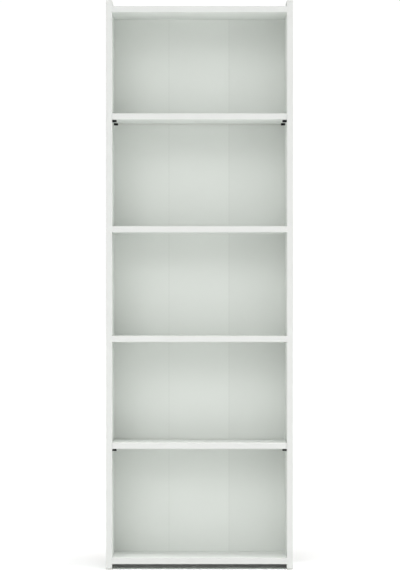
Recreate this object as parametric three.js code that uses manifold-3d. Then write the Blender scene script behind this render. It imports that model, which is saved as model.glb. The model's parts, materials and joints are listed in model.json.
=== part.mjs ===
// Tall bookcase in foil-faced chipboard, with two fixed and two adjustable shelves.
// Units are millimetres. X runs to the right seen from the front, the open front faces -Y, and +Z is up.
// The origin is on the floor, under the middle of the bookcase's width and depth.

import * as THREE from 'three';
import { mergeVertices } from 'three/addons/utils/BufferGeometryUtils.js';
import Module from 'manifold-3d';

// Carcass
const WIDTH = 591;
const HEIGHT = 1800;
const DEPTH = 240;
const BOARD = 19;
const GLIDE_HEIGHT = 2;
const BACK_THICKNESS = 2.6;
const TAPE_THICKNESS = 0.4;
const PLAY = 0.3; // room left all round a piece in its hole, and under what rests on a pin

// Undersides of the boards above the floor
const TOP_PANEL_HEIGHT = 1762;
const ADJUSTABLE_UPPER_HEIGHT = 1422.5;
const FIXED_UPPER_HEIGHT = 1066;
const FIXED_LOWER_HEIGHT = 719;
const ADJUSTABLE_LOWER_HEIGHT = 381;
const BOTTOM_PANEL_HEIGHT = 17;

// Adjustable shelves
const SHELF_SIDE_PLAY = 0.4;
const SHELF_FRONT_SETBACK = 1;
const SHELF_REAR_PLAY = 4;

// Shelf pins and the rows of holes that they plug into
const PIN_PEG_DIAMETER = 5;
const PIN_PEG_LENGTH = 9;
const PIN_HOLE_DEPTH = 10;
const PIN_LENGTH = 13.5;
const PIN_WIDTH = 7;
const PIN_HEIGHT = 7.4;
const PIN_BELLY = 2;
const PIN_FRONT_INSET = 22;
const PIN_REAR_INSET = 182;
const PIN_HOLE_PITCH = 32;
const PIN_HOLES_EACH_WAY = 2;

// One-piece chipboard screws through the sides into the ends of the fixed boards
const SCREW_LENGTH = 50;
const SCREW_HEAD_DIAMETER = 10;
const SCREW_HEAD_HEIGHT = 3;
const SCREW_NECK_DIAMETER = 7;
const SCREW_NECK_LENGTH = 12;
const SCREW_THREAD_DIAMETER = 6;
const SCREW_TIP_LENGTH = 3;
const SCREW_SUNK = 1.5;
const SCREW_EDGE_INSET = 40;

// Wooden dowels between the sides and the fixed boards
const DOWEL_DIAMETER = 8;
const DOWEL_IN_SIDE = 10;
const DOWEL_IN_BOARD = 20;
const DOWEL_CHAMFER = 1;
const HOLE_END_PLAY = 0.5;

// Folded hardboard back, in three sections that hang a little to the left
const BACK_SECTION_WIDTH = 194.5;
const BACK_SHIFT = -1.8;
const BACK_BOTTOM = 18;
const BACK_TOP = 1780;
const FOLD_GAP = 0.4;
const TAPE_WIDTH = 24;

// Nail-on glides under the sides
const GLIDE_DIAMETER = 16;
const GLIDE_EDGE_INSET = 25;
const GLIDE_RIM = 0.6;
const NAIL_DIAMETER = 2;
const NAIL_LENGTH = 11;

// Wall bracket on the top panel
const BRACKET_WIDTH = 30;
const BRACKET_THICKNESS = 2;
const BRACKET_LENGTH = 40;
const BRACKET_HEIGHT = 18;
const BRACKET_WALL_HOLE = 5.5;
const BRACKET_WALL_HOLE_HEIGHT = 11;
const BRACKET_SCREW_INSET = 26;
const BRACKET_SCREW_DIAMETER = 3.6;
const BRACKET_SCREW_LENGTH = 15;
const BRACKET_SCREW_HEAD_DIAMETER = 8;
const BRACKET_SCREW_HEAD_HEIGHT = 2.2;

// Planes worked out from the sizes above
const FRONT = -DEPTH / 2;
const REAR = DEPTH / 2;
const BACK_REAR_FACE = REAR - TAPE_THICKNESS;
const BACK_FRONT_FACE = BACK_REAR_FACE - BACK_THICKNESS;
const BOARD_DEPTH = BACK_FRONT_FACE - FRONT;
const BOARD_MIDDLE = (FRONT + BACK_FRONT_FACE) / 2;
const INNER_FACE = WIDTH / 2 - BOARD;
const SCREW_ROWS = { front: FRONT + SCREW_EDGE_INSET, rear: BACK_FRONT_FACE - SCREW_EDGE_INSET };
const PIN_ROWS = { front: FRONT + PIN_FRONT_INSET, rear: FRONT + PIN_REAR_INSET };
const GLIDE_ROWS = { front: FRONT + GLIDE_EDGE_INSET, rear: BACK_FRONT_FACE - GLIDE_EDGE_INSET };
const BRACKET_SCREW_ROW = REAR - BRACKET_SCREW_INSET;
const PIN_DROP = PLAY + PIN_HEIGHT / 2; // from a shelf's underside down to the pin's centre line
const HANDS = { left: -1, right: 1 };

const FIXED_BOARDS = {
  top: TOP_PANEL_HEIGHT,
  upper: FIXED_UPPER_HEIGHT,
  lower: FIXED_LOWER_HEIGHT,
  bottom: BOTTOM_PANEL_HEIGHT,
};
const ADJUSTABLE_SHELVES = { upper: ADJUSTABLE_UPPER_HEIGHT, lower: ADJUSTABLE_LOWER_HEIGHT };

const ROUND_SIDES = 12;
const CURVE_SEGMENTS = 8;
const OVERCUT = 1; // how far a cutter runs out past the face that it enters

// Finishes
const WHITE_FOIL = { color: 0xe6e9e5, roughness: 0.5, metalness: 0 };
const PAINTED_HARDBOARD = { color: 0xdde3dc, roughness: 0.6, metalness: 0 };
const PAPER_TAPE = { color: 0xe8e4d8, roughness: 0.85, metalness: 0 };
const BLACK_PLASTIC = { color: 0x17181a, roughness: 0.45, metalness: 0 };
const WHITE_PLASTIC = { color: 0xdedfdc, roughness: 0.5, metalness: 0 };
const ZINC_STEEL = { color: 0xb4b8bc, roughness: 0.35, metalness: 1 };
const BEECH = { color: 0xd2ab78, roughness: 0.7, metalness: 0 };

const wasm = await Module();
wasm.setup();

// Joining and cutting ---------------------------------------------------------------------------

function asSolid(geometry) {
  const bare = geometry.clone();
  bare.deleteAttribute('normal');
  bare.deleteAttribute('uv');
  const merged = mergeVertices(bare);
  const vertProperties = Float32Array.from(merged.attributes.position.array);
  const triVerts = Uint32Array.from(merged.index.array);
  return new wasm.Manifold(new wasm.Mesh({ numProp: 3, vertProperties, triVerts }));
}

function asGeometry(solid) {
  const mesh = solid.getMesh();
  const geometry = new THREE.BufferGeometry();
  geometry.setAttribute('position', new THREE.BufferAttribute(mesh.vertProperties, 3));
  geometry.setIndex(new THREE.BufferAttribute(mesh.triVerts, 1));
  geometry.computeVertexNormals();
  return geometry;
}

function cut(geometry, cutters) {
  let solid = asSolid(geometry);
  for (const cutter of cutters) {
    solid = solid.subtract(asSolid(cutter));
  }
  return asGeometry(solid);
}

// Round bars, also used as drills ------------------------------------------------------------------

function barAlongX(diameter, start, end, y, z) {
  const bar = new THREE.CylinderGeometry(diameter / 2, diameter / 2, Math.abs(end - start), ROUND_SIDES);
  bar.rotateZ(-Math.PI / 2);
  bar.translate((start + end) / 2, y, z);
  return bar;
}

function barAlongY(diameter, start, end, x, z) {
  const bar = new THREE.CylinderGeometry(diameter / 2, diameter / 2, Math.abs(end - start), ROUND_SIDES);
  bar.translate(x, (start + end) / 2, z);
  return bar;
}

function barAlongZ(diameter, start, end, x, y) {
  const bar = new THREE.CylinderGeometry(diameter / 2, diameter / 2, Math.abs(end - start), ROUND_SIDES);
  bar.rotateX(Math.PI / 2);
  bar.translate(x, y, (start + end) / 2);
  return bar;
}

// A solid of revolution about Y, from radius and height pairs that start and end on the axis.
function turned(profile) {
  const points = profile.map(([radius, height]) => new THREE.Vector2(radius, height));
  return new THREE.LatheGeometry(points, ROUND_SIDES);
}

function board(width, depth, thickness) {
  return new THREE.BoxGeometry(width, depth, thickness);
}

// Boards ------------------------------------------------------------------------------------------

// A side stands on its glides. Its zero in X is its inner face, and it extends outwards, in hand's direction.
function sidePanel(hand) {
  const length = HEIGHT - GLIDE_HEIGHT;
  const side = board(BOARD, BOARD_DEPTH, length);
  side.translate(hand * BOARD / 2, BOARD_MIDDLE, GLIDE_HEIGHT + length / 2);
  const headDepth = SCREW_SUNK + SCREW_HEAD_HEIGHT + PLAY;
  const drills = [];
  for (const underside of Object.values(FIXED_BOARDS)) {
    const centre = underside + BOARD / 2;
    for (const row of Object.values(SCREW_ROWS)) {
      const neck = SCREW_NECK_DIAMETER + 2 * PLAY;
      const head = SCREW_HEAD_DIAMETER + 2 * PLAY;
      drills.push(barAlongX(neck, -hand * OVERCUT, hand * (BOARD + OVERCUT), row, centre));
      drills.push(barAlongX(head, hand * (BOARD - headDepth), hand * (BOARD + OVERCUT), row, centre));
    }
    const depth = DOWEL_IN_SIDE + HOLE_END_PLAY;
    drills.push(barAlongX(DOWEL_DIAMETER + 2 * PLAY, -hand * OVERCUT, hand * depth, BOARD_MIDDLE, centre));
  }
  for (const underside of Object.values(ADJUSTABLE_SHELVES)) {
    for (let step = -PIN_HOLES_EACH_WAY; step <= PIN_HOLES_EACH_WAY; step += 1) {
      const centre = underside - PIN_DROP + step * PIN_HOLE_PITCH;
      for (const row of Object.values(PIN_ROWS)) {
        const bore = PIN_PEG_DIAMETER + 2 * PLAY;
        drills.push(barAlongX(bore, -hand * OVERCUT, hand * PIN_HOLE_DEPTH, row, centre));
      }
    }
  }
  for (const row of Object.values(GLIDE_ROWS)) {
    const top = GLIDE_HEIGHT + NAIL_LENGTH + HOLE_END_PLAY;
    drills.push(barAlongZ(NAIL_DIAMETER + 2 * PLAY, 0, top, hand * BOARD / 2, row));
  }
  return cut(side, drills);
}

// Drills for the dowel and the two screws in each end of a fixed board, measured from its underside.
function endDrills() {
  const drills = [];
  for (const hand of Object.values(HANDS)) {
    const screwTip = WIDTH / 2 - SCREW_SUNK - SCREW_LENGTH - HOLE_END_PLAY;
    const dowelEnd = INNER_FACE - DOWEL_IN_BOARD - HOLE_END_PLAY;
    const mouth = INNER_FACE + OVERCUT;
    for (const row of Object.values(SCREW_ROWS)) {
      drills.push(barAlongX(SCREW_THREAD_DIAMETER + 2 * PLAY, hand * screwTip, hand * mouth, row, BOARD / 2));
    }
    drills.push(barAlongX(DOWEL_DIAMETER + 2 * PLAY, hand * dowelEnd, hand * mouth, BOARD_MIDDLE, BOARD / 2));
  }
  return drills;
}

function fixedBoard(moreDrills = []) {
  const panel = board(2 * INNER_FACE, BOARD_DEPTH, BOARD);
  panel.translate(0, BOARD_MIDDLE, BOARD / 2);
  return cut(panel, [...endDrills(), ...moreDrills]);
}

function adjustableShelf() {
  const depth = BOARD_DEPTH - SHELF_FRONT_SETBACK - SHELF_REAR_PLAY;
  const shelf = board(2 * (INNER_FACE - SHELF_SIDE_PLAY), depth, BOARD);
  shelf.translate(0, FRONT + SHELF_FRONT_SETBACK + depth / 2, BOARD / 2);
  return shelf;
}

function backSection() {
  return board(BACK_SECTION_WIDTH - FOLD_GAP, BACK_THICKNESS, BACK_TOP - BACK_BOTTOM);
}

function hingeTape() {
  return board(TAPE_WIDTH, TAPE_THICKNESS, BACK_TOP - BACK_BOTTOM);
}

// Fittings ----------------------------------------------------------------------------------------

// Head up, with the top of the head at zero and the tip pointing down.
function confirmatScrew() {
  const neckEnd = -SCREW_HEAD_HEIGHT - SCREW_NECK_LENGTH;
  return turned([
    [0, -SCREW_LENGTH],
    [SCREW_THREAD_DIAMETER / 4, -SCREW_LENGTH],
    [SCREW_THREAD_DIAMETER / 2, -SCREW_LENGTH + SCREW_TIP_LENGTH],
    [SCREW_THREAD_DIAMETER / 2, neckEnd],
    [SCREW_NECK_DIAMETER / 2, neckEnd],
    [SCREW_NECK_DIAMETER / 2, -SCREW_HEAD_HEIGHT],
    [SCREW_HEAD_DIAMETER / 2, -SCREW_HEAD_HEIGHT / 2],
    [SCREW_HEAD_DIAMETER / 2, 0],
    [0, 0],
  ]);
}

// Centred on the joint between side and board, with the end in the side pointing up.
function dowel() {
  const radius = DOWEL_DIAMETER / 2;
  return turned([
    [0, -DOWEL_IN_BOARD],
    [radius - DOWEL_CHAMFER, -DOWEL_IN_BOARD],
    [radius, -DOWEL_IN_BOARD + DOWEL_CHAMFER],
    [radius, DOWEL_IN_SIDE - DOWEL_CHAMFER],
    [radius - DOWEL_CHAMFER, DOWEL_IN_SIDE],
    [0, DOWEL_IN_SIDE],
  ]);
}

// A flat-topped bar with a slightly bellied underside, and the peg that plugs into the side's inner face.
function shelfPin(hand) {
  const half = PIN_WIDTH / 2;
  const top = PIN_HEIGHT / 2;
  const section = new THREE.Shape();
  section.moveTo(-half, PIN_BELLY - top);
  section.lineTo(-half, top);
  section.lineTo(half, top);
  section.lineTo(half, PIN_BELLY - top);
  section.absellipse(0, PIN_BELLY - top, half, PIN_BELLY, 0, -Math.PI, true);
  const bar = new THREE.ExtrudeGeometry(section, {
    depth: PIN_LENGTH,
    bevelEnabled: false,
    curveSegments: CURVE_SEGMENTS,
  });
  bar.rotateX(Math.PI / 2);
  bar.rotateZ(Math.PI / 2);
  bar.translate(hand > 0 ? -PIN_LENGTH - PLAY : PLAY, 0, 0);
  const peg = barAlongX(PIN_PEG_DIAMETER, -hand * (PLAY + PIN_LENGTH / 2), hand * PIN_PEG_LENGTH, 0, 0);
  return asGeometry(asSolid(bar).add(asSolid(peg)));
}

// Disc below, nail above. The disc's top is at zero.
function footGlide() {
  const nail = NAIL_DIAMETER / 2;
  return turned([
    [0, -GLIDE_HEIGHT],
    [GLIDE_DIAMETER / 2 - GLIDE_RIM, -GLIDE_HEIGHT],
    [GLIDE_DIAMETER / 2, -GLIDE_HEIGHT + GLIDE_RIM],
    [GLIDE_DIAMETER / 2, 0],
    [nail, 0],
    [nail, NAIL_LENGTH - nail],
    [0, NAIL_LENGTH],
  ]);
}

// An angle of steel strip, flat leg on the top panel and upright leg in the bookcase's rear plane.
function wallBracket() {
  const angle = new THREE.Shape();
  angle.moveTo(-BRACKET_LENGTH, 0);
  angle.lineTo(0, 0);
  angle.lineTo(0, BRACKET_HEIGHT);
  angle.lineTo(-BRACKET_THICKNESS, BRACKET_HEIGHT);
  angle.lineTo(-BRACKET_THICKNESS, BRACKET_THICKNESS);
  angle.lineTo(-BRACKET_LENGTH, BRACKET_THICKNESS);
  const strip = new THREE.ExtrudeGeometry(angle, { depth: BRACKET_WIDTH, bevelEnabled: false });
  strip.rotateX(Math.PI / 2);
  strip.rotateZ(Math.PI / 2);
  strip.translate(-BRACKET_WIDTH / 2, 0, 0);
  const legDrill = barAlongZ(
    BRACKET_SCREW_DIAMETER + 2 * PLAY,
    -OVERCUT,
    BRACKET_THICKNESS + OVERCUT,
    0,
    -BRACKET_SCREW_INSET,
  );
  const wallDrill = barAlongY(
    BRACKET_WALL_HOLE,
    -BRACKET_THICKNESS - OVERCUT,
    OVERCUT,
    0,
    BRACKET_WALL_HOLE_HEIGHT,
  );
  return cut(strip, [legDrill, wallDrill]);
}

// Pan head up, with the underside of the head at zero.
function bracketScrew() {
  const shank = BRACKET_SCREW_DIAMETER / 2;
  const head = BRACKET_SCREW_HEAD_DIAMETER / 2;
  return turned([
    [0, -BRACKET_SCREW_LENGTH],
    [shank, -BRACKET_SCREW_LENGTH + 2 * shank],
    [shank, 0],
    [head, 0],
    [head, BRACKET_SCREW_HEAD_HEIGHT / 2],
    [head / 2, BRACKET_SCREW_HEAD_HEIGHT],
    [0, BRACKET_SCREW_HEAD_HEIGHT],
  ]);
}

// Assembly ----------------------------------------------------------------------------------------

const bookcase = new THREE.Group();

function place(name, geometry, finish, x, y, z) {
  const mesh = new THREE.Mesh(geometry, new THREE.MeshStandardMaterial(finish));
  mesh.name = name;
  mesh.position.set(x, y, z);
  bookcase.add(mesh);
  return mesh;
}

for (const [side, hand] of Object.entries(HANDS)) {
  place(`${side}_side_panel`, sidePanel(hand), WHITE_FOIL, hand * INNER_FACE, 0, 0);
}

const bracketDrill = barAlongZ(
  BRACKET_SCREW_DIAMETER + 2 * PLAY,
  BOARD + BRACKET_THICKNESS - BRACKET_SCREW_LENGTH - HOLE_END_PLAY,
  BOARD + OVERCUT,
  0,
  BRACKET_SCREW_ROW,
);
place('top_panel', fixedBoard([bracketDrill]), WHITE_FOIL, 0, 0, TOP_PANEL_HEIGHT);
place('fixed_shelf_upper', fixedBoard(), WHITE_FOIL, 0, 0, FIXED_UPPER_HEIGHT);
place('fixed_shelf_lower', fixedBoard(), WHITE_FOIL, 0, 0, FIXED_LOWER_HEIGHT);
place('bottom_panel', fixedBoard(), WHITE_FOIL, 0, 0, BOTTOM_PANEL_HEIGHT);

for (const [level, underside] of Object.entries(ADJUSTABLE_SHELVES)) {
  place(`adjustable_shelf_${level}`, adjustableShelf(), WHITE_FOIL, 0, 0, underside);
}

const backY = (BACK_FRONT_FACE + BACK_REAR_FACE) / 2;
const backZ = (BACK_BOTTOM + BACK_TOP) / 2;
for (const [index, section] of ['left', 'middle', 'right'].entries()) {
  const x = BACK_SHIFT + (index - 1) * BACK_SECTION_WIDTH;
  place(`back_panel_${section}`, backSection(), PAINTED_HARDBOARD, x, backY, backZ);
}
for (const [side, hand] of Object.entries(HANDS)) {
  const x = BACK_SHIFT + hand * BACK_SECTION_WIDTH / 2;
  place(`back_hinge_tape_${side}`, hingeTape(), PAPER_TAPE, x, REAR - TAPE_THICKNESS / 2, backZ);
}

for (const [level, underside] of Object.entries(FIXED_BOARDS)) {
  const z = underside + BOARD / 2;
  for (const [side, hand] of Object.entries(HANDS)) {
    const headTop = hand * (WIDTH / 2 - SCREW_SUNK);
    for (const [row, y] of Object.entries(SCREW_ROWS)) {
      const name = `confirmat_screw_${level}_${side}_${row}`;
      place(name, confirmatScrew(), ZINC_STEEL, headTop, y, z).rotation.z = -hand * Math.PI / 2;
    }
    const peg = place(`dowel_${level}_${side}`, dowel(), BEECH, hand * INNER_FACE, BOARD_MIDDLE, z);
    peg.rotation.z = -hand * Math.PI / 2;
  }
}

for (const [level, underside] of Object.entries(ADJUSTABLE_SHELVES)) {
  for (const [side, hand] of Object.entries(HANDS)) {
    for (const [row, y] of Object.entries(PIN_ROWS)) {
      const name = `shelf_pin_${level}_${side}_${row}`;
      place(name, shelfPin(hand), BLACK_PLASTIC, hand * INNER_FACE, y, underside - PIN_DROP);
    }
  }
}

for (const [side, hand] of Object.entries(HANDS)) {
  for (const [row, y] of Object.entries(GLIDE_ROWS)) {
    const x = hand * (INNER_FACE + BOARD / 2);
    const glide = place(`foot_glide_${side}_${row}`, footGlide(), WHITE_PLASTIC, x, y, GLIDE_HEIGHT);
    glide.rotation.x = Math.PI / 2;
  }
}

const topFace = TOP_PANEL_HEIGHT + BOARD;
place('wall_bracket', wallBracket(), ZINC_STEEL, 0, REAR, topFace);
const headSeat = topFace + BRACKET_THICKNESS;
const holdingScrew = place('wall_bracket_screw', bracketScrew(), ZINC_STEEL, 0, BRACKET_SCREW_ROW, headSeat);
holdingScrew.rotation.x = Math.PI / 2;

export default bookcase;
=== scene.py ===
# A tall white bookcase, put together in the order in which it is built: sides, fixed boards, dowels and screws,
# back, adjustable shelves on their pins, glides and wall bracket. Then the studio that it is shown in.
import json
import math
import bmesh
import bpy
from mathutils import Matrix, Vector


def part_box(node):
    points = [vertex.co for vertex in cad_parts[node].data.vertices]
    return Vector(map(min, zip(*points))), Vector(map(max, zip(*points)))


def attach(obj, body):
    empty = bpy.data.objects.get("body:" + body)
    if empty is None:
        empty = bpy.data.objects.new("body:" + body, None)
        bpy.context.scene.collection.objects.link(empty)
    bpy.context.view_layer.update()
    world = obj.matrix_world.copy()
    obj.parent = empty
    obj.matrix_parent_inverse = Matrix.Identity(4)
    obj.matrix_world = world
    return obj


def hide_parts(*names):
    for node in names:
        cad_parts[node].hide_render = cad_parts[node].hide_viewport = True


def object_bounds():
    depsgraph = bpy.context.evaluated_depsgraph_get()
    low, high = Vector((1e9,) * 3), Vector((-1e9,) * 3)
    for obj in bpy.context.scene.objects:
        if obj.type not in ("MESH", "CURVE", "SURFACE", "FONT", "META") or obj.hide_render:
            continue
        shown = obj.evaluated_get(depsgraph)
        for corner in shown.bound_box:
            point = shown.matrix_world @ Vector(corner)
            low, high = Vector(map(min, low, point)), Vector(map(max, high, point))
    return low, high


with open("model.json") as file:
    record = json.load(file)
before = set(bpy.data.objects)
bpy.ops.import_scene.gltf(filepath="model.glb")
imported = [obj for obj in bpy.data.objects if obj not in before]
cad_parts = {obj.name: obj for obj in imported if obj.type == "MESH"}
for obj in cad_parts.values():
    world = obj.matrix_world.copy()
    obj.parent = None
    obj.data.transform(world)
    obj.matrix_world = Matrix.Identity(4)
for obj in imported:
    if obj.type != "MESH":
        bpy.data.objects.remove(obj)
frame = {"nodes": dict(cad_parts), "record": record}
cad_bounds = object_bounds()

# --- Side panels ----------------------------------------------------------------------------------------
# 19 mm chipboard under white melamine foil. The front edge carries a 1 mm plastic band and the top edge a strip
# like the foil, glued on and rounded over; the rear and bottom edges stay sawn. Bored before assembly.

SIDES = {"left": -1, "right": 1}
ARRIS = 0.0003
BAND = 0.001
BAND_ROUNDING = 0.0005
BORE_SIDES = 24
PIN_BORE = 0.0052
PIN_BORE_DEPTH = 0.010
PIN_BORE_PITCH = 0.032
PIN_BORES_EACH_WAY = 2
DOWEL_BORE = 0.0082
NECK_BORE = 0.0074
HEAD_BORE = 0.0106
HEAD_BORE_DEPTH = 0.0048
NAIL_BORE = 0.0024
BREAKTHROUGH = 0.001


def middle(node):
    low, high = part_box(node)
    return (low + high) / 2


def as_piece(form, name, materials, smooth_below=None):
    """Makes a bmesh an object whose faces turn smoothly where they meet at less than an angle."""
    mesh = bpy.data.meshes.new(name)
    form.to_mesh(mesh)
    form.free()
    for material in materials:
        mesh.materials.append(material)
    if smooth_below:
        mesh.shade_smooth()
        mesh.set_sharp_from_angle(angle=smooth_below)
    piece = bpy.data.objects.new(name, mesh)
    bpy.context.scene.collection.objects.link(piece)
    return piece


def block(low, high, rounding=ARRIS, segments=2, glued=()):
    """A rectangular block between two corners, with its edges broken except round its glued faces.

    A glued face is an axis number and the face's place on that axis.
    """
    form = bmesh.new()
    bmesh.ops.create_cube(form, size=1)
    bmesh.ops.scale(form, vec=high - low, verts=form.verts)
    bmesh.ops.translate(form, vec=(low + high) / 2, verts=form.verts)
    free = [edge for edge in form.edges
            if not any(all(abs(v.co[axis] - level) < 1e-6 for v in edge.verts) for axis, level in glued)]
    bmesh.ops.bevel(form, geom=free, offset=rounding, segments=segments, profile=0.5, affect="EDGES",
                    material=-1)
    return form


def rod(form, start, end, radius, sides=BORE_SIDES, tip_radius=None):
    """Adds a round bar, or a cone, between two points."""
    axis = end - start
    turn = axis.to_track_quat("Z", "Y").to_matrix().to_4x4()
    bmesh.ops.create_cone(form, cap_ends=True, segments=sides, radius1=radius,
                          radius2=radius if tip_radius is None else tip_radius,
                          depth=axis.length, matrix=Matrix.Translation((start + end) / 2) @ turn)


def carve(piece, cutter, wall_material):
    """Takes one form out of a piece and gives the cut walls their own material."""
    tool = as_piece(cutter, "cutter", [wall_material])
    cut = piece.modifiers.new("cut", "BOOLEAN")
    cut.operation = "DIFFERENCE"
    cut.solver = "EXACT"
    cut.material_mode = "TRANSFER"
    cut.object = tool
    carved = bpy.data.meshes.new_from_object(piece.evaluated_get(bpy.context.evaluated_depsgraph_get()))
    piece.modifiers.clear()
    piece.data = carved
    bpy.data.objects.remove(tool)


def bore(piece, holes, wall_material):
    """Drills round holes, each given by its two ends and its diameter."""
    bits = bmesh.new()
    for start, end, diameter in holes:
        rod(bits, start, end, diameter / 2)
    carve(piece, bits, wall_material)


def effect(name, inputs, outputs):
    """A shader node group with named inputs, each given its starting value, and named outputs."""
    group = bpy.data.node_groups.new(name, "ShaderNodeTree")
    for label, (kind, value) in inputs.items():
        socket = group.interface.new_socket(label, in_out="INPUT", socket_type=kind)
        socket.default_value = value
    for label, kind in outputs.items():
        group.interface.new_socket(label, in_out="OUTPUT", socket_type=kind)
    nodes = group.nodes
    return group, nodes, group.links, nodes.new("NodeGroupInput"), nodes.new("NodeGroupOutput")


COLOUR, NUMBER, VECTOR = "NodeSocketColor", "NodeSocketFloat", "NodeSocketVector"


def sums(nodes, links, operation, *values):
    """A Math node fed with sockets or plain numbers; returns its result."""
    node = nodes.new("ShaderNodeMath")
    node.operation = operation
    for entry, value in zip(node.inputs, values):
        if isinstance(value, (int, float)):
            entry.default_value = value
        else:
            links.new(value, entry)
    return node.outputs[0]


def noise(nodes, links, vector, scale, detail=2.0, roughness=0.5, distortion=0.0):
    """A Noise Texture on a vector; returns its value."""
    node = nodes.new("ShaderNodeTexNoise")
    node.inputs["Detail"].default_value = detail
    node.inputs["Roughness"].default_value = roughness
    node.inputs["Distortion"].default_value = distortion
    links.new(vector, node.inputs["Vector"])
    if isinstance(scale, (int, float)):
        node.inputs["Scale"].default_value = scale
    else:
        links.new(scale, node.inputs["Scale"])
    return node.outputs["Fac"]


def shaded(nodes, links, colour, brightness):
    """A colour made lighter or darker by a number around 1."""
    node = nodes.new("ShaderNodeVectorMath")
    node.operation = "SCALE"
    links.new(colour, node.inputs[0])
    links.new(brightness, node.inputs["Scale"])
    return node.outputs[0]


# Cast and pressed surfaces: slow drifts in tone and gloss, and a fine grain that stands out as height.
skin, nodes, links, given, result = effect(
    "pressed_skin",
    {"Colour": (COLOUR, (0.8, 0.8, 0.8, 1)), "Tone drift": (NUMBER, 0.01), "Drift scale": (NUMBER, 6.0),
     "Gloss": (NUMBER, 0.5), "Gloss drift": (NUMBER, 0.06), "Grain scale": (NUMBER, 900.0)},
    {"Colour": COLOUR, "Roughness": NUMBER, "Height": NUMBER})
place = nodes.new("ShaderNodeTexCoord").outputs["Object"]
slow = sums(nodes, links, "SUBTRACT", noise(nodes, links, place, given.outputs["Drift scale"], 3.0), 0.5)
fine = noise(nodes, links, place, given.outputs["Grain scale"], 4.0, 0.6)
toned = sums(nodes, links, "MULTIPLY_ADD", slow, given.outputs["Tone drift"], 1.0)
links.new(shaded(nodes, links, given.outputs["Colour"], toned), result.inputs["Colour"])
smears = sums(nodes, links, "SUBTRACT", noise(nodes, links, place, 25.0, 5.0, 0.65), 0.5)
links.new(sums(nodes, links, "MULTIPLY_ADD", smears, given.outputs["Gloss drift"], given.outputs["Gloss"]),
          result.inputs["Roughness"])
links.new(fine, result.inputs["Height"])

# Chopped and pressed wood: flat chips of several browns, laid any way, with dark gaps between them.
chips, nodes, links, given, result = effect(
    "wood_chips",
    {"Pale": (COLOUR, (0.62, 0.45, 0.27, 1)), "Dark": (COLOUR, (0.26, 0.16, 0.08, 1)),
     "Chips per metre": (NUMBER, 420.0), "Flatness": (VECTOR, (0.5, 1.0, 1.0))},
    {"Colour": COLOUR, "Height": NUMBER})
place = nodes.new("ShaderNodeTexCoord").outputs["Object"]
stretch = nodes.new("ShaderNodeVectorMath")
stretch.operation = "MULTIPLY"
links.new(place, stretch.inputs[0])
links.new(given.outputs["Flatness"], stretch.inputs[1])
cells = nodes.new("ShaderNodeTexVoronoi")
links.new(stretch.outputs[0], cells.inputs["Vector"])
links.new(given.outputs["Chips per metre"], cells.inputs["Scale"])
streaks = noise(nodes, links, stretch.outputs[0], 1500.0, 3.0)
tint = nodes.new("ShaderNodeSeparateColor")
links.new(cells.outputs["Color"], tint.inputs[0])
share = sums(nodes, links, "MULTIPLY_ADD", streaks, 0.6, -0.1)
share = sums(nodes, links, "MULTIPLY_ADD", tint.outputs[0], 0.6, share)
blend = nodes.new("ShaderNodeMix")
blend.data_type = "RGBA"
links.new(share, blend.inputs["Factor"])
links.new(given.outputs["Dark"], blend.inputs[6])
links.new(given.outputs["Pale"], blend.inputs[7])
links.new(blend.outputs[2], result.inputs["Colour"])
links.new(sums(nodes, links, "SUBTRACT", tint.outputs[1], cells.outputs["Distance"]), result.inputs["Height"])


def finish_material(name, group, depth, roughness=0.5, metallic=0.0, ior=1.45, **values):
    """A Principled material whose colour, gloss and grain come from one effect; depth is the grain's height."""
    material = bpy.data.materials.new(name)
    material.use_nodes = True
    nodes, links = material.node_tree.nodes, material.node_tree.links
    shader = nodes["Principled BSDF"]
    shader.inputs["Metallic"].default_value = metallic
    shader.inputs["Roughness"].default_value = roughness
    shader.inputs["IOR"].default_value = ior
    surface = nodes.new("ShaderNodeGroup")
    surface.node_tree = group
    for label, value in values.items():
        surface.inputs[label.replace("_", " ")].default_value = value
    links.new(surface.outputs["Colour"], shader.inputs["Base Color"])
    if "Roughness" in surface.outputs:
        links.new(surface.outputs["Roughness"], shader.inputs["Roughness"])
    bump = nodes.new("ShaderNodeBump")
    bump.inputs["Strength"].default_value = 1.0
    bump.inputs["Distance"].default_value = depth
    links.new(surface.outputs["Height"], bump.inputs["Height"])
    links.new(bump.outputs["Normal"], shader.inputs["Normal"])
    return material


foil = finish_material("white_melamine_foil", skin, 0.00002, Colour=(0.730, 0.752, 0.726, 1), Tone_drift=0.02,
                       Gloss=0.58, Gloss_drift=0.1)
# The edge band's white is set darker than the foil's, though on the real boards the two match: painted shade on
# the front edges.
band_plastic_painted_shade = finish_material("white_edge_band", skin, 0.00003, Colour=(0.582, 0.590, 0.576, 1),
                               Tone_drift=0.015, Gloss=0.42, Grain_scale=1400.0)
raw_chipboard = finish_material("sawn_chipboard", chips, 0.0002, roughness=0.9)


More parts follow.
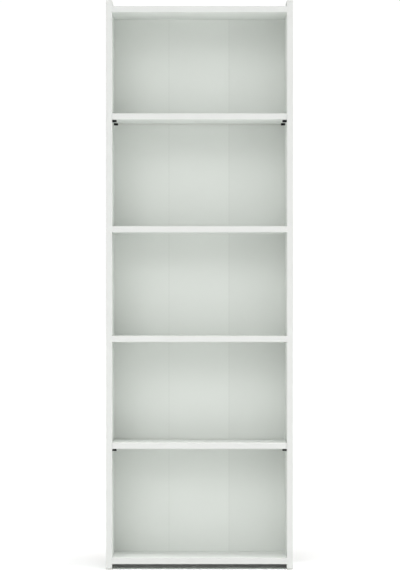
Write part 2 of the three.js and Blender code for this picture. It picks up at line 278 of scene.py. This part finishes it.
def foil_board(name, node, holes, banded=("front",)):
    """The board that stands for a CAD node: a cored block and a band on each finished edge."""
    low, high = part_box(node)
    core_low, core_high = low.copy(), high.copy()
    bands = []
    if "front" in banded:
        core_low.y += BAND
        bands.append(("front", low, Vector((high.x, core_low.y, high.z)), (1, core_low.y)))
    if "top" in banded:
        core_high.z -= BAND
        bands.append(("top", Vector((low.x, core_low.y, core_high.z)), high, (2, core_high.z)))
    if "ends" in banded:
        core_low.x += BAND
        core_high.x -= BAND
        left_high, right_low = Vector((core_low.x, high.y, high.z)), Vector((core_high.x, core_low.y, low.z))
        bands.append(("left", Vector((low.x, core_low.y, low.z)), left_high, (0, core_low.x)))
        bands.append(("right", right_low, high, (0, core_high.x)))
    core = block(core_low, core_high, glued=[joint for *_, joint in bands])
    thinnest = min(range(3), key=lambda axis: high[axis] - low[axis])
    for face in core.faces:
        face.material_index = 0 if abs(face.normal[thinnest]) > 0.3 else 1
    piece = as_piece(core, name, [foil, raw_chipboard])
    if holes:
        bore(piece, holes, raw_chipboard)
    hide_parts(node)
    bodies = frame["record"]["behaviour"]["bodies"]
    body = next(name for name, members in bodies.items() if node in members)
    # The bands on front edges and shelf ends take the darker band colour, painted shade on those edges; the top
    # strip takes the foil.
    strips = [as_piece(block(start, end, BAND_ROUNDING, 4, glued=[joint]), f"{name}_{edge}_band",
                       [foil if edge == "top" else band_plastic_painted_shade])
              for edge, start, end, joint in bands]
    for part in [piece, *strips]:
        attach(part, body)
    return piece


def nodes_named(start, *words):
    return [node for node in sorted(frame["nodes"]) if node.startswith(start) and all(w in node for w in words)]


for side, hand in SIDES.items():
    low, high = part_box(f"{side}_side_panel")
    inner, outer = (high.x, low.x) if hand < 0 else (low.x, high.x)
    holes = []
    for screw in nodes_named("confirmat_screw", side):
        centre = middle(screw)
        holes.append((Vector((inner - hand * BREAKTHROUGH, centre.y, centre.z)),
                      Vector((outer + hand * BREAKTHROUGH, centre.y, centre.z)), NECK_BORE))
    for dowel in nodes_named("dowel", side):
        centre = middle(dowel)
        dowel_low, dowel_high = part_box(dowel)
        end = dowel_low.x if hand < 0 else dowel_high.x
        holes.append((Vector((inner - hand * BREAKTHROUGH, centre.y, centre.z)),
                      Vector((end + hand * ARRIS, centre.y, centre.z)), DOWEL_BORE))
    for pin in nodes_named("shelf_pin", side):
        centre = middle(pin)
        for step in range(-PIN_BORES_EACH_WAY, PIN_BORES_EACH_WAY + 1):
            height = centre.z + step * PIN_BORE_PITCH
            holes.append((Vector((inner - hand * BREAKTHROUGH, centre.y, height)),
                          Vector((inner + hand * PIN_BORE_DEPTH, centre.y, height)), PIN_BORE))
    for glide in nodes_named("foot_glide", side):
        centre = middle(glide)
        holes.append((Vector((centre.x, centre.y, 0)),
                      Vector((centre.x, centre.y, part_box(glide)[1].z + ARRIS)), NAIL_BORE))
    panel = foil_board(f"{side}_side", f"{side}_side_panel", holes, banded=("front", "top"))
    heads = [middle(screw) for screw in nodes_named("confirmat_screw", side)]
    counterbores = [(Vector((outer - hand * HEAD_BORE_DEPTH, head.y, head.z)),
                     Vector((outer + hand * BREAKTHROUGH, head.y, head.z)), HEAD_BORE) for head in heads]
    bore(panel, counterbores, raw_chipboard)

# --- Fixed boards ---------------------------------------------------------------------------------------
# The top, the bottom and two shelves, cut from the same foiled board and banded on the front edge only. Each
# end butts against a side and is bored for two screws and a dowel; the top also takes the bracket's screw.

THREAD_BORE = 0.0056
BRACKET_SCREW_BORE = 0.0038
FIXED_BOARDS = {"top": "top_panel", "upper": "fixed_shelf_upper", "lower": "fixed_shelf_lower",
                "bottom": "bottom_panel"}

for level, node in FIXED_BOARDS.items():
    low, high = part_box(node)
    holes = []
    for side, hand in SIDES.items():
        mouth = hand * (high.x + BREAKTHROUGH)
        for fastener in nodes_named(f"confirmat_screw_{level}_{side}") + nodes_named(f"dowel_{level}_{side}"):
            centre = middle(fastener)
            tip = min(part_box(fastener), key=lambda corner: abs(corner.x)).x
            diameter = DOWEL_BORE if fastener.startswith("dowel") else THREAD_BORE
            holes.append((Vector((tip - hand * ARRIS, centre.y, centre.z)),
                          Vector((mouth, centre.y, centre.z)), diameter))
    if level == "top":
        screw_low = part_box("wall_bracket_screw")[0]
        centre = middle("wall_bracket_screw")
        holes.append((Vector((centre.x, centre.y, screw_low.z - ARRIS)),
                      Vector((centre.x, centre.y, high.z + BREAKTHROUGH)), BRACKET_SCREW_BORE))
    foil_board(f"{level}_board", node, holes)

# --- Dowels ---------------------------------------------------------------------------------------------
# Turned beech, 8 mm thick and 30 mm long, with flutes pressed in along it for the glue and both ends chamfered.
# Each is glued into a side and a board to keep the two in line.

FLUTES = 18
FLUTE_DEPTH = 0.0003
DOWEL_CHAMFER = 0.0006
DOWEL_EASE = 0.00005

grain, nodes, links, given, result = effect(
    "long_grain",
    {"Pale": (COLOUR, (0.66, 0.45, 0.26, 1)), "Dark": (COLOUR, (0.45, 0.27, 0.13, 1)),
     "Run": (VECTOR, (0.08, 1.0, 1.0)), "Grain scale": (NUMBER, 900.0)},
    {"Colour": COLOUR, "Height": NUMBER})
place = nodes.new("ShaderNodeTexCoord").outputs["Object"]
stretch = nodes.new("ShaderNodeVectorMath")
stretch.operation = "MULTIPLY"
links.new(place, stretch.inputs[0])
links.new(given.outputs["Run"], stretch.inputs[1])
fibres = noise(nodes, links, stretch.outputs[0], given.outputs["Grain scale"], 5.0, 0.6)
blend = nodes.new("ShaderNodeMix")
blend.data_type = "RGBA"
links.new(fibres, blend.inputs["Factor"])
links.new(given.outputs["Dark"], blend.inputs[6])
links.new(given.outputs["Pale"], blend.inputs[7])
links.new(blend.outputs[2], result.inputs["Colour"])
links.new(fibres, result.inputs["Height"])

beech = finish_material("beech", grain, 0.00008, roughness=0.7)

for node in nodes_named("dowel"):
    low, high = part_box(node)
    centre, radius, length = middle(node), (high.z - low.z) / 2 - DOWEL_EASE, high.x - low.x
    peg = bmesh.new()
    bmesh.ops.create_circle(peg, cap_ends=True, segments=2 * FLUTES, radius=radius)
    for index, vertex in enumerate(peg.verts[:]):
        if index % 2:
            vertex.co *= 1 - FLUTE_DEPTH / radius
    raised = bmesh.ops.extrude_face_region(peg, geom=peg.faces[:])
    top_verts = [part for part in raised["geom"] if isinstance(part, bmesh.types.BMVert)]
    bmesh.ops.translate(peg, vec=(0, 0, length), verts=top_verts)
    ends = [edge for edge in peg.edges if abs(edge.verts[0].co.z - edge.verts[1].co.z) < 1e-7]
    bmesh.ops.bevel(peg, geom=ends, offset=DOWEL_CHAMFER, segments=1, profile=0.5, affect="EDGES",
                    material=-1)
    bmesh.ops.recalc_face_normals(peg, faces=peg.faces)
    bmesh.ops.translate(peg, vec=(0, 0, -length / 2), verts=peg.verts)
    bmesh.ops.rotate(peg, matrix=Matrix.Rotation(math.pi / 2, 3, "Y"), verts=peg.verts)
    bmesh.ops.translate(peg, vec=centre, verts=peg.verts)
    piece = as_piece(peg, f"{node}_peg", [beech])
    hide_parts(node)
    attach(piece, "carcass")

# --- Chipboard screws -----------------------------------------------------------------------------------
# Zinc-plated one-piece connectors, 7 by 50 mm: a countersunk head with a hexagon socket, a plain neck that
# fills the bore in the side, and a coarse deep thread cut into the board's end.

SCREW_SIDES = 24
SOCKET_RADIUS = 0.0023
SOCKET_DEPTH = 0.0022
THREAD_PITCH = 0.003
THREAD_LENGTH = 0.028
THREAD_STEPS = 16

steel = finish_material("zinc_plated_steel", skin, 0.00001, metallic=1.0, Colour=(0.62, 0.64, 0.66, 1),
                        Tone_drift=0.12, Drift_scale=160.0, Gloss=0.32, Gloss_drift=0.16, Grain_scale=2500.0)


def turned(profile, sides=SCREW_SIDES):
    """A solid turned about Z from pairs of radius and height that start and end on the axis."""
    form = bmesh.new()
    points = [form.verts.new((radius, 0, height)) for radius, height in profile]
    lines = [form.edges.new(pair) for pair in zip(points, points[1:])]
    bmesh.ops.spin(form, geom=points + lines, cent=(0, 0, 0), axis=(0, 0, 1), angle=2 * math.pi, steps=sides,
                   use_merge=True, use_duplicate=False)
    bmesh.ops.remove_doubles(form, verts=form.verts, dist=1e-6)
    bmesh.ops.recalc_face_normals(form, faces=form.faces)
    return form


def aimed(form, origin, direction):
    """Turns a form from +Z to a direction and moves its zero to a point."""
    turn = Vector(direction).to_track_quat("Z", "Y").to_matrix()
    bmesh.ops.rotate(form, matrix=turn, verts=form.verts)
    bmesh.ops.translate(form, vec=origin, verts=form.verts)
    return form


def connector():
    """One screw with the top of its head at zero and its tip down."""
    core = 0.0023
    form = turned([(0, -0.050), (0.0008, -0.0498), (core, -0.0455), (core, -0.0155), (0.0034, -0.0150),
                   (0.0034, -0.0032), (0.0048, -0.0008), (0.0049, -0.0003), (0.0046, 0),
                   (SOCKET_RADIUS, 0), (SOCKET_RADIUS, -SOCKET_DEPTH), (0, -SOCKET_DEPTH)])
    for vertex in form.verts:
        radius = math.hypot(vertex.co.x, vertex.co.y)
        if vertex.co.z > -SOCKET_DEPTH - 1e-6 and abs(radius - SOCKET_RADIUS) < 1e-6:
            turn = math.atan2(vertex.co.y, vertex.co.x) % (math.pi / 3) - math.pi / 6
            flat = math.cos(math.pi / 6) / math.cos(turn)
            vertex.co.x *= flat
            vertex.co.y *= flat
    turns = int(THREAD_LENGTH / THREAD_PITCH)
    flank = [form.verts.new((core - 0.0002, 0, -0.0450)), form.verts.new((0.0029, 0, -0.0441)),
             form.verts.new((core - 0.0002, 0, -0.0436))]
    start = form.faces.new(flank)
    bmesh.ops.spin(form, geom=[start, *start.edges, *flank], cent=(0, 0, 0), axis=(0, 0, 1),
                   dvec=(0, 0, THREAD_PITCH / THREAD_STEPS), angle=turns * 2 * math.pi,
                   steps=turns * THREAD_STEPS, use_duplicate=False)
    bmesh.ops.recalc_face_normals(form, faces=form.faces)
    return form


for node in nodes_named("confirmat_screw"):
    low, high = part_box(node)
    hand = 1 if middle(node).x > 0 else -1
    head = Vector((high.x if hand > 0 else low.x, middle(node).y, middle(node).z))
    piece = as_piece(aimed(connector(), head, (hand, 0, 0)), f"{node}_body", [steel], math.radians(35))
    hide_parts(node)
    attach(piece, "carcass")

# --- Screw caps -----------------------------------------------------------------------------------------
# White plastic plugs pushed into the counterbores over the screw heads, flush with the foil, slightly crowned.

CAP_RADIUS = 0.0051
CAP_THICKNESS = 0.0012

cap_plastic = finish_material("white_cap_plastic", skin, 0.00002, Colour=(0.70, 0.712, 0.69, 1),
                              Gloss=0.36, Grain_scale=1800.0)

for node in nodes_named("confirmat_screw"):
    hand = 1 if middle(node).x > 0 else -1
    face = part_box("right_side_panel")[1].x if hand > 0 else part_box("left_side_panel")[0].x
    cap = turned([(0, -CAP_THICKNESS), (CAP_RADIUS, -CAP_THICKNESS), (CAP_RADIUS, -0.0004),
                  (CAP_RADIUS - 0.0002, -0.0002), (CAP_RADIUS * 0.6, -0.00005), (0, 0)], 32)
    seat = Vector((face, middle(node).y, middle(node).z))
    piece = as_piece(aimed(cap, seat, (hand, 0, 0)), node.replace("confirmat_screw", "screw_cap"),
                     [cap_plastic], math.radians(30))
    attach(piece, "carcass")

# --- Folded back ----------------------------------------------------------------------------------------
# Hardboard in three leaves, painted white inside and brown with a pressed screen mark behind. It comes
# folded: the paint film bridges both folds in front and paper tape holds them behind. Nailed on all round.

LEAF_ARRIS = 0.00025
FOLD_FILM = 0.0002
FOLD_SET_BACK = 0.0004
SCORE_INSET = 0.0115
SCORE_HALF_WIDTH = 0.0003
SCORE_DEPTH = 0.0003
# The right leaf's white paint is set a little darker than the other two leaves: painted shade for light falling
# differently on that leaf.
LEAF_PAINTED_SHADE = {"left": 1.0, "middle": 1.0, "right": 0.962}
# The fold film's paint is set far darker than the leaves: painted shade in the fold lines between them.
FOLD_PAINTED_SHADE = 0.6

mesh_back, nodes, links, given, result = effect(
    "screen_backed_fibre",
    {"Pale": (COLOUR, (0.30, 0.185, 0.10, 1)), "Dark": (COLOUR, (0.16, 0.088, 0.042, 1)),
     "Fibre scale": (NUMBER, 700.0), "Mesh pitch": (NUMBER, 0.0016)},
    {"Colour": COLOUR, "Height": NUMBER})
place = nodes.new("ShaderNodeTexCoord").outputs["Object"]
felt = noise(nodes, links, place, given.outputs["Fibre scale"], 6.0, 0.7, 1.5)
clouds = noise(nodes, links, place, 9.0, 4.0)
axes = nodes.new("ShaderNodeSeparateXYZ")
links.new(place, axes.inputs[0])
waves = []
for axis in ("X", "Z"):
    turns = sums(nodes, links, "DIVIDE", axes.outputs[axis], given.outputs["Mesh pitch"])
    waves.append(sums(nodes, links, "SINE", sums(nodes, links, "MULTIPLY", turns, 2 * math.pi)))
weave = sums(nodes, links, "MULTIPLY", waves[0], waves[1])
share = sums(nodes, links, "MULTIPLY_ADD", clouds, 0.5, sums(nodes, links, "MULTIPLY_ADD", felt, 0.9, -0.2))
share = sums(nodes, links, "MULTIPLY_ADD", weave, 0.12, share)
blend = nodes.new("ShaderNodeMix")
blend.data_type = "RGBA"
links.new(share, blend.inputs["Factor"])
links.new(given.outputs["Dark"], blend.inputs[6])
links.new(given.outputs["Pale"], blend.inputs[7])
links.new(blend.outputs[2], result.inputs["Colour"])
links.new(sums(nodes, links, "MULTIPLY_ADD", weave, 0.5, felt), result.inputs["Height"])

brown_hardboard = finish_material("brown_hardboard", mesh_back, 0.0002, roughness=0.75)
paint = {}
# Each leaf's paint and the fold film's paint is the back's white scaled by its factor above; a factor below 1
# is painted shade.
for leaf, painted_shade in {**LEAF_PAINTED_SHADE, "fold": FOLD_PAINTED_SHADE}.items():
    shade = (0.700 * painted_shade, 0.727 * painted_shade, 0.695 * painted_shade, 1)
    paint[leaf] = finish_material(f"white_back_paint_{leaf}", skin, 0.00004, Colour=shade, Tone_drift=0.02,
                                  Drift_scale=9.0, Gloss=0.55, Gloss_drift=0.08, Grain_scale=650.0)

for leaf in LEAF_PAINTED_SHADE:
    node = f"back_panel_{leaf}"
    low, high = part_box(node)
    sheet = block(low, high, LEAF_ARRIS)
    if leaf == "middle":
        score = high.x - SCORE_INSET
        for offset in (-SCORE_HALF_WIDTH, 0, SCORE_HALF_WIDTH):
            bmesh.ops.bisect_plane(sheet, geom=sheet.verts[:] + sheet.edges[:] + sheet.faces[:],
                                   plane_co=(score + offset, 0, 0), plane_no=(1, 0, 0))
        for vertex in sheet.verts:
            if abs(vertex.co.x - score) < 1e-6 and vertex.co.y < low.y + 1e-6:
                vertex.co.y += SCORE_DEPTH
    for face in sheet.faces:
        face.material_index = 0 if face.normal.y < -0.3 else 1
    piece = as_piece(sheet, f"{leaf}_back_leaf", [paint[leaf], brown_hardboard])
    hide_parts(node)
    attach(piece, "carcass")

for side, (first, second) in {"left": ("left", "middle"), "right": ("middle", "right")}.items():
    first_high, second_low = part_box(f"back_panel_{first}")[1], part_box(f"back_panel_{second}")[0]
    low = Vector((first_high.x, second_low.y + FOLD_SET_BACK, second_low.z))
    high = Vector((second_low.x, second_low.y + FOLD_SET_BACK + FOLD_FILM, first_high.z))
    # The film takes the darkened fold paint, painted shade along each fold.
    film = as_piece(block(low, high, FOLD_FILM / 5, 1), f"{side}_fold_film", [paint["fold"]])
    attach(film, "carcass")

tape_paper = finish_material("gummed_paper_tape", grain, 0.0001, roughness=0.85, Pale=(0.74, 0.66, 0.50, 1),
                             Dark=(0.62, 0.53, 0.38, 1), Run=(1.0, 1.0, 0.2), Grain_scale=1300.0)
for node in nodes_named("back_hinge_tape"):
    low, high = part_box(node)
    piece = as_piece(block(low, high, 0.00012), f"{node}_strip", [tape_paper])
    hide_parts(node)
    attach(piece, "carcass")

NAIL_HEAD_RADIUS = 0.0024
NAIL_SHANK_RADIUS = 0.0007
NAIL_LENGTH = 0.020
NAIL_SPACING = 0.19
NAIL_HEAD = 0.00035


def back_nail(name, x, z):
    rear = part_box("back_panel_middle")[1].y
    nail = turned([(0, -NAIL_LENGTH), (NAIL_SHANK_RADIUS, -NAIL_LENGTH + 0.002), (NAIL_SHANK_RADIUS, 0),
                   (NAIL_HEAD_RADIUS, 0), (NAIL_HEAD_RADIUS, NAIL_HEAD * 0.4),
                   (NAIL_HEAD_RADIUS * 0.8, NAIL_HEAD * 0.9), (0, NAIL_HEAD)], 16)
    piece = as_piece(aimed(nail, Vector((x, rear, z)), (0, 1, 0)), name, [steel], math.radians(40))
    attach(piece, "carcass")


for side, hand in SIDES.items():
    x = middle(f"{side}_side_panel").x
    first, last = middle("bottom_panel").z + NAIL_SPACING / 2, middle("top_panel").z
    count = int((last - first) / NAIL_SPACING)
    for index in range(count + 1):
        back_nail(f"back_nail_{side}_{index}", x, first + index * (last - first) / (count + 0.5))
for level, node in FIXED_BOARDS.items():
    for index, share in enumerate((-0.72, -0.12, 0.12, 0.72)):
        back_nail(f"back_nail_{level}_{index}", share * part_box(node)[1].x, middle(node).z)

# --- Adjustable shelves ---------------------------------------------------------------------------------
# Two loose boards, a hair short at each end so that they drop in between the sides, and banded on the
# front edge and both ends. They lie on their pins by their own weight and move with their own bodies.

for level in ("upper", "lower"):
    foil_board(f"{level}_loose_shelf", f"adjustable_shelf_{level}", [], banded=("front", "ends"))

# --- Shelf pins -----------------------------------------------------------------------------------------
# Black moulded plastic: a bar with a flat top for the shelf to lie on and a round belly, and a ribbed peg that
# is pressed into one of the side's 5 mm holes.

PIN_CORNER = 0.0004
BELLY_DEPTH = 0.002
BELLY_STEPS = 10
PEG_RADIUS = 0.0023
PEG_RIBS = 4
RIB_RADIUS = 0.0004
RIB_SHORT = 0.0015
PEG_TIP = 0.001
SHOULDER_GAP = 0.0003

black_plastic = finish_material("black_moulded_plastic", skin, 0.00003, ior=1.3,
                                Colour=(0.004, 0.004, 0.0045, 1), Tone_drift=0.3, Drift_scale=150.0, Gloss=0.6,
                                Gloss_drift=0.12, Grain_scale=2600.0)

for node in nodes_named("shelf_pin"):
    low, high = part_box(node)
    centre, half_width = middle(node), (high.y - low.y) / 2
    hand = 1 if centre.x > 0 else -1
    shoulder = hand * (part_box("top_panel")[1].x - SHOULDER_GAP)
    free_end, peg_end = (low.x, high.x) if hand > 0 else (high.x, low.x)
    pin = bmesh.new()
    outline = [(-half_width, high.z), (half_width, high.z)]
    outline += [(half_width * math.cos(turn), low.z + BELLY_DEPTH * (1 - math.sin(turn)))
                for turn in (math.pi * step / BELLY_STEPS for step in range(BELLY_STEPS + 1))]
    section = pin.faces.new([pin.verts.new((free_end, centre.y + y, z)) for y, z in outline])
    drawn = bmesh.ops.extrude_face_region(pin, geom=[section])
    bmesh.ops.translate(pin, vec=(shoulder - free_end, 0, 0),
                        verts=[part for part in drawn["geom"] if isinstance(part, bmesh.types.BMVert)])
    bmesh.ops.recalc_face_normals(pin, faces=pin.faces)
    rims = [edge for edge in pin.edges if edge.calc_face_angle(0) > 1.0]
    bmesh.ops.bevel(pin, geom=rims, offset=PIN_CORNER, segments=3, profile=0.5, affect="EDGES", material=-1)
    axis_height = centre.z
    root = Vector((shoulder, centre.y, axis_height))
    rod(pin, root, Vector((peg_end - hand * PEG_TIP, centre.y, axis_height)), PEG_RADIUS)
    rod(pin, Vector((peg_end - hand * PEG_TIP, centre.y, axis_height)),
        Vector((peg_end, centre.y, axis_height)), PEG_RADIUS, tip_radius=PEG_RADIUS * 0.7)
    for rib in range(PEG_RIBS):
        angle = math.pi / 4 + rib * math.pi / 2
        offset = Vector((0, math.cos(angle), math.sin(angle))) * (PEG_RADIUS - RIB_RADIUS / 2)
        rib_end = Vector((peg_end - hand * RIB_SHORT, centre.y, axis_height)) + offset
        rod(pin, root + offset, rib_end, RIB_RADIUS, 8)
    piece = as_piece(pin, f"{node}_moulding", [black_plastic], math.radians(32))
    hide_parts(node)
    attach(piece, node.replace("shelf_pin_", "") + "_pin")

# --- Foot glides ----------------------------------------------------------------------------------------
# White plastic discs with a steel nail moulded in, hammered into the sides' bottom edges.

glide_plastic = finish_material("white_glide_plastic", skin, 0.00003, Colour=(0.70, 0.71, 0.69, 1), Gloss=0.5,
                                Tone_drift=0.05, Drift_scale=120.0, Grain_scale=1500.0)

for node in nodes_named("foot_glide"):
    low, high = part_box(node)
    centre, radius = middle(node), (high.x - low.x) / 2
    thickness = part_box("left_side_panel")[0].z
    glide = turned([(0, 0), (radius - 0.0009, 0), (radius - 0.0004, 0.0001), (radius - 0.0001, 0.0004),
                    (radius, 0.0008), (radius, thickness - 0.0001), (radius - 0.0001, thickness),
                    (0.001, thickness), (0.001, high.z - 0.002), (0, high.z)], 40)
    piece = as_piece(aimed(glide, Vector((centre.x, centre.y, 0)), (0, 0, 1)), f"{node}_disc", [glide_plastic],
                     math.radians(40))
    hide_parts(node)
    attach(piece, "carcass")

# --- Wall bracket ---------------------------------------------------------------------------------------
# A strip of 2 mm zinc-plated steel bent to an angle. One cross-recessed screw holds it down on the top panel,
# and the hole in its upright leg takes a screw into the wall, so that the bookcase can't tip forward.

STRIP = 0.002
BEND = 0.0025
INNER_BEND = 0.001
WALL_HOLE = 0.0055
WALL_HOLE_HEIGHT = 0.011
LEG_HOLE = 0.0042

low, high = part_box("wall_bracket")
angle_strip = bmesh.new()
profile = [(low.y, low.z), (high.y, low.z), (high.y, high.z), (high.y - STRIP, high.z),
           (high.y - STRIP, low.z + STRIP), (low.y, low.z + STRIP)]
section = angle_strip.faces.new([angle_strip.verts.new((low.x, y, z)) for y, z in profile])
drawn = bmesh.ops.extrude_face_region(angle_strip, geom=[section])
bmesh.ops.translate(angle_strip, vec=(high.x - low.x, 0, 0),
                    verts=[part for part in drawn["geom"] if isinstance(part, bmesh.types.BMVert)])
bmesh.ops.recalc_face_normals(angle_strip, faces=angle_strip.faces)


def lies_on(edge, y, z):
    return all(abs(v.co.y - y) < 1e-6 and abs(v.co.z - z) < 1e-6 for v in edge.verts)


outer_bend = [edge for edge in angle_strip.edges if lies_on(edge, high.y, low.z)]
bmesh.ops.bevel(angle_strip, geom=outer_bend, offset=BEND, segments=6, profile=0.5, affect="EDGES", material=-1)
inner_bend = [edge for edge in angle_strip.edges if lies_on(edge, high.y - STRIP, low.z + STRIP)]
bmesh.ops.bevel(angle_strip, geom=inner_bend, offset=INNER_BEND, segments=4, profile=0.5, affect="EDGES",
                material=-1)
rims = [edge for edge in angle_strip.edges if edge.calc_face_angle(0) > 1.2]
bmesh.ops.bevel(angle_strip, geom=rims, offset=0.0002, segments=2, profile=0.5, affect="EDGES", material=-1)
bracket = as_piece(angle_strip, "wall_bracket_strip", [steel])
screw_centre = middle("wall_bracket_screw")
bore(bracket, [(Vector((screw_centre.x, screw_centre.y, low.z - BREAKTHROUGH)),
                Vector((screw_centre.x, screw_centre.y, low.z + STRIP + BREAKTHROUGH)), LEG_HOLE),
               (Vector((screw_centre.x, high.y - STRIP - BREAKTHROUGH, low.z + WALL_HOLE_HEIGHT)),
                Vector((screw_centre.x, high.y + BREAKTHROUGH, low.z + WALL_HOLE_HEIGHT)), WALL_HOLE)], steel)
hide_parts("wall_bracket")
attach(bracket, "carcass")

RECESS_REACH = 0.0021
RECESS_WIDTH = 0.0009
RECESS_DEPTH = 0.0012

low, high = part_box("wall_bracket_screw")
head_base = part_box("wall_bracket")[0].z + STRIP
head_top = high.z - head_base
pan = turned([(0, low.z - head_base), (0.0016, low.z - head_base + 0.004), (0.0016, 0), (0.0039, 0),
              (0.0040, 0.0006), (0.0036, 0.0014), (0.0026, 0.0020), (0.0012, head_top), (0, head_top)], 32)
bracket_screw = as_piece(aimed(pan, Vector((screw_centre.x, screw_centre.y, head_base)), (0, 0, 1)),
                         "wall_bracket_screw_body", [steel], math.radians(40))
top = Vector((screw_centre.x, screw_centre.y, high.z))
for reach, width in ((RECESS_REACH, RECESS_WIDTH), (RECESS_WIDTH, RECESS_REACH)):
    half = Vector((reach / 2, width / 2, RECESS_DEPTH))
    carve(bracket_screw, block(top - half, top + half, RECESS_WIDTH / 8, 1), steel)
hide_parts("wall_bracket_screw")
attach(bracket_screw, "carcass")

# --- Studio ---------------------------------------------------------------------------------------------
# A pale matte floor, lit faintly from below as a light table is, in a white room. Light comes through soft
# windows: three in front, the brightest a little to the left and above, one at the right and one overhead. A
# low softbox lifts the feet, and one lying on the floor in front lights the boards from below.

case_low, case_high = Vector(cad_bounds[0]), Vector(cad_bounds[1])
FLOOR_RADIUS = 60.0
FLOOR_GLOW = 0.025
# Each window: its bearing to the right of the front, its height and its spread in degrees, and its strength.
WINDOWS = ((-15, 25, 15, 4), (15, 25, 15, 2), (-45, 25, 15, 2), (75, 25, 20, 4), (0, 80, 20, 7))
ROOM_BEHIND = 0.25
ROOM_SEEN = 1.02

floor_form = bmesh.new()
bmesh.ops.create_circle(floor_form, cap_ends=True, segments=96, radius=FLOOR_RADIUS)
floor_paint = finish_material("pale_floor", skin, 0.0001, Colour=(0.93, 0.935, 0.93, 1), Tone_drift=0.01,
                              Drift_scale=2.0, Gloss=0.9, Grain_scale=300.0)
floor_shader = floor_paint.node_tree.nodes["Principled BSDF"]
floor_shader.inputs["Emission Color"].default_value = (1, 1, 1, 1)
floor_shader.inputs["Emission Strength"].default_value = FLOOR_GLOW
floor = as_piece(floor_form, "studio_floor", [floor_paint])

window, nodes, links, given, result = effect(
    "window", {"Towards": (VECTOR, (0, -1, 0)), "Spread": (NUMBER, 0.3), "Strength": (NUMBER, 1.0)},
    {"Strength": NUMBER})
looking = nodes.new("ShaderNodeTexCoord").outputs["Generated"]
facing = nodes.new("ShaderNodeVectorMath")
facing.operation = "DOT_PRODUCT"
links.new(looking, facing.inputs[0])
links.new(given.outputs["Towards"], facing.inputs[1])
angle_off = sums(nodes, links, "ARCCOSINE", facing.outputs["Value"])
share = sums(nodes, links, "POWER", sums(nodes, links, "DIVIDE", angle_off, given.outputs["Spread"]), 2.0)
fall = sums(nodes, links, "EXPONENT", sums(nodes, links, "MULTIPLY", share, -1.0))
links.new(sums(nodes, links, "MULTIPLY", fall, given.outputs["Strength"]), result.inputs["Strength"])

room = bpy.data.worlds.new("white_room")
room.use_nodes = True
nodes, links = room.node_tree.nodes, room.node_tree.links
looking = nodes.new("ShaderNodeSeparateXYZ")
links.new(nodes.new("ShaderNodeTexCoord").outputs["Generated"], looking.inputs[0])
behind = sums(nodes, links, "GREATER_THAN", looking.outputs["Y"], 0.0)
total = sums(nodes, links, "MULTIPLY", behind, ROOM_BEHIND)
for bearing, height, spread, strength in WINDOWS:
    pane = nodes.new("ShaderNodeGroup")
    pane.node_tree = window
    bearing, height = math.radians(bearing), math.radians(height)
    pane.inputs["Towards"].default_value = (math.sin(bearing) * math.cos(height),
                                            -math.cos(bearing) * math.cos(height), math.sin(height))
    pane.inputs["Spread"].default_value = math.radians(spread)
    pane.inputs["Strength"].default_value = strength
    total = sums(nodes, links, "ADD", total, pane.outputs["Strength"])
glow = nodes["Background"]
glow.inputs["Color"].default_value = (1, 1, 1, 1)
links.new(total, glow.inputs["Strength"])
seen = nodes.new("ShaderNodeBackground")
seen.inputs["Color"].default_value = (1, 1, 1, 1)
seen.inputs["Strength"].default_value = ROOM_SEEN
rays = nodes.new("ShaderNodeLightPath")
mix = nodes.new("ShaderNodeMixShader")
links.new(rays.outputs["Is Camera Ray"], mix.inputs[0])
links.new(glow.outputs[0], mix.inputs[1])
links.new(seen.outputs[0], mix.inputs[2])
links.new(mix.outputs[0], nodes["World Output"].inputs["Surface"])
bpy.context.scene.world = room
bpy.context.scene.view_settings.view_transform = "Standard"


def softbox(name, centre, target, width, power):
    """A square area light that faces a point."""
    data = bpy.data.lights.new(name, "AREA")
    data.shape = "SQUARE"
    data.size = width
    data.energy = power
    light = bpy.data.objects.new(name, data)
    light.location = centre
    light.rotation_euler = (Vector(target) - Vector(centre)).to_track_quat("-Z", "Y").to_euler()
    bpy.context.scene.collection.objects.link(light)
    light.visible_camera = False


case_middle = (0, 0, case_high.z / 2)
softbox("low_right_softbox", (2.2, -3.6, 0.9), case_middle, 1.2, 3)
softbox("floor_softbox", (0, -1.4, 0.03), (0, -1.4, 1), 1.0, 2.5)

# The camera stands level, 8.7 m in front of the bookcase and a little below the middle of its height. The
# whole height fills the frame, so the lens follows from the distance. It is shifted up to the frame's middle.
SENSOR = 0.036
CAMERA_DISTANCE = 8.706
CAMERA_HEIGHT = 0.8518
FRAME_SPAN = 1.8016
FRAME_MIDDLE_HEIGHT = 0.8992
FRAME_SIDE_STEP = 0.0016

camera_data = bpy.data.cameras.new("camera")
camera_data.sensor_width = SENSOR * 1000
camera_data.lens = SENSOR * 1000 * CAMERA_DISTANCE / FRAME_SPAN
camera_data.shift_x = FRAME_SIDE_STEP / FRAME_SPAN
camera_data.shift_y = (FRAME_MIDDLE_HEIGHT - CAMERA_HEIGHT) / FRAME_SPAN
camera_data.clip_end = 100
camera = bpy.data.objects.new("camera", camera_data)
camera.location = (0, case_low.y - CAMERA_DISTANCE, CAMERA_HEIGHT)
camera.rotation_euler = (math.pi / 2, 0, 0)
bpy.context.scene.collection.objects.link(camera)
bpy.context.scene.camera = camera
